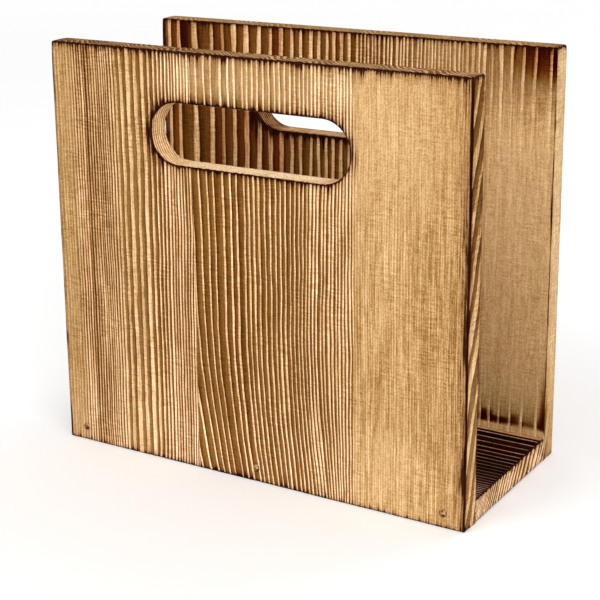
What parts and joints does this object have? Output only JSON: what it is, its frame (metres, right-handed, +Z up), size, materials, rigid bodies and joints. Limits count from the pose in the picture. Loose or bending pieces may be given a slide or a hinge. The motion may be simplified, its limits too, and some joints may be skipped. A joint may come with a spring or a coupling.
{
  "type": "napkin holder",
  "caption": "Open U-shaped wooden napkin holder: upright boards with finger slots, nailed to the long edges of a flat base board.",
  "frame": {"origin": "middle of the underside, where the holder stands on a table", "axes": "+X along the holder's length, +Y from the front board to the back board, +Z up"},
  "size_m": [0.1524, 0.0698, 0.1397],
  "materials": {
    "scorched_board": "scorched and brushed softwood, oiled",
    "scorched_base": "heavily scorched and brushed softwood, oiled",
    "nail_steel": "plain steel, set just under the wood"
  },
  "bodies": {
    "root": {"front_board": "scorched_board", "back_board": "scorched_board", "base_board": "scorched_base", "front_nail_left": "nail_steel", "front_nail_middle": "nail_steel", "front_nail_right": "nail_steel", "back_nail_left": "nail_steel", "back_nail_middle": "nail_steel", "back_nail_right": "nail_steel"}
  },
  "joints": []
}
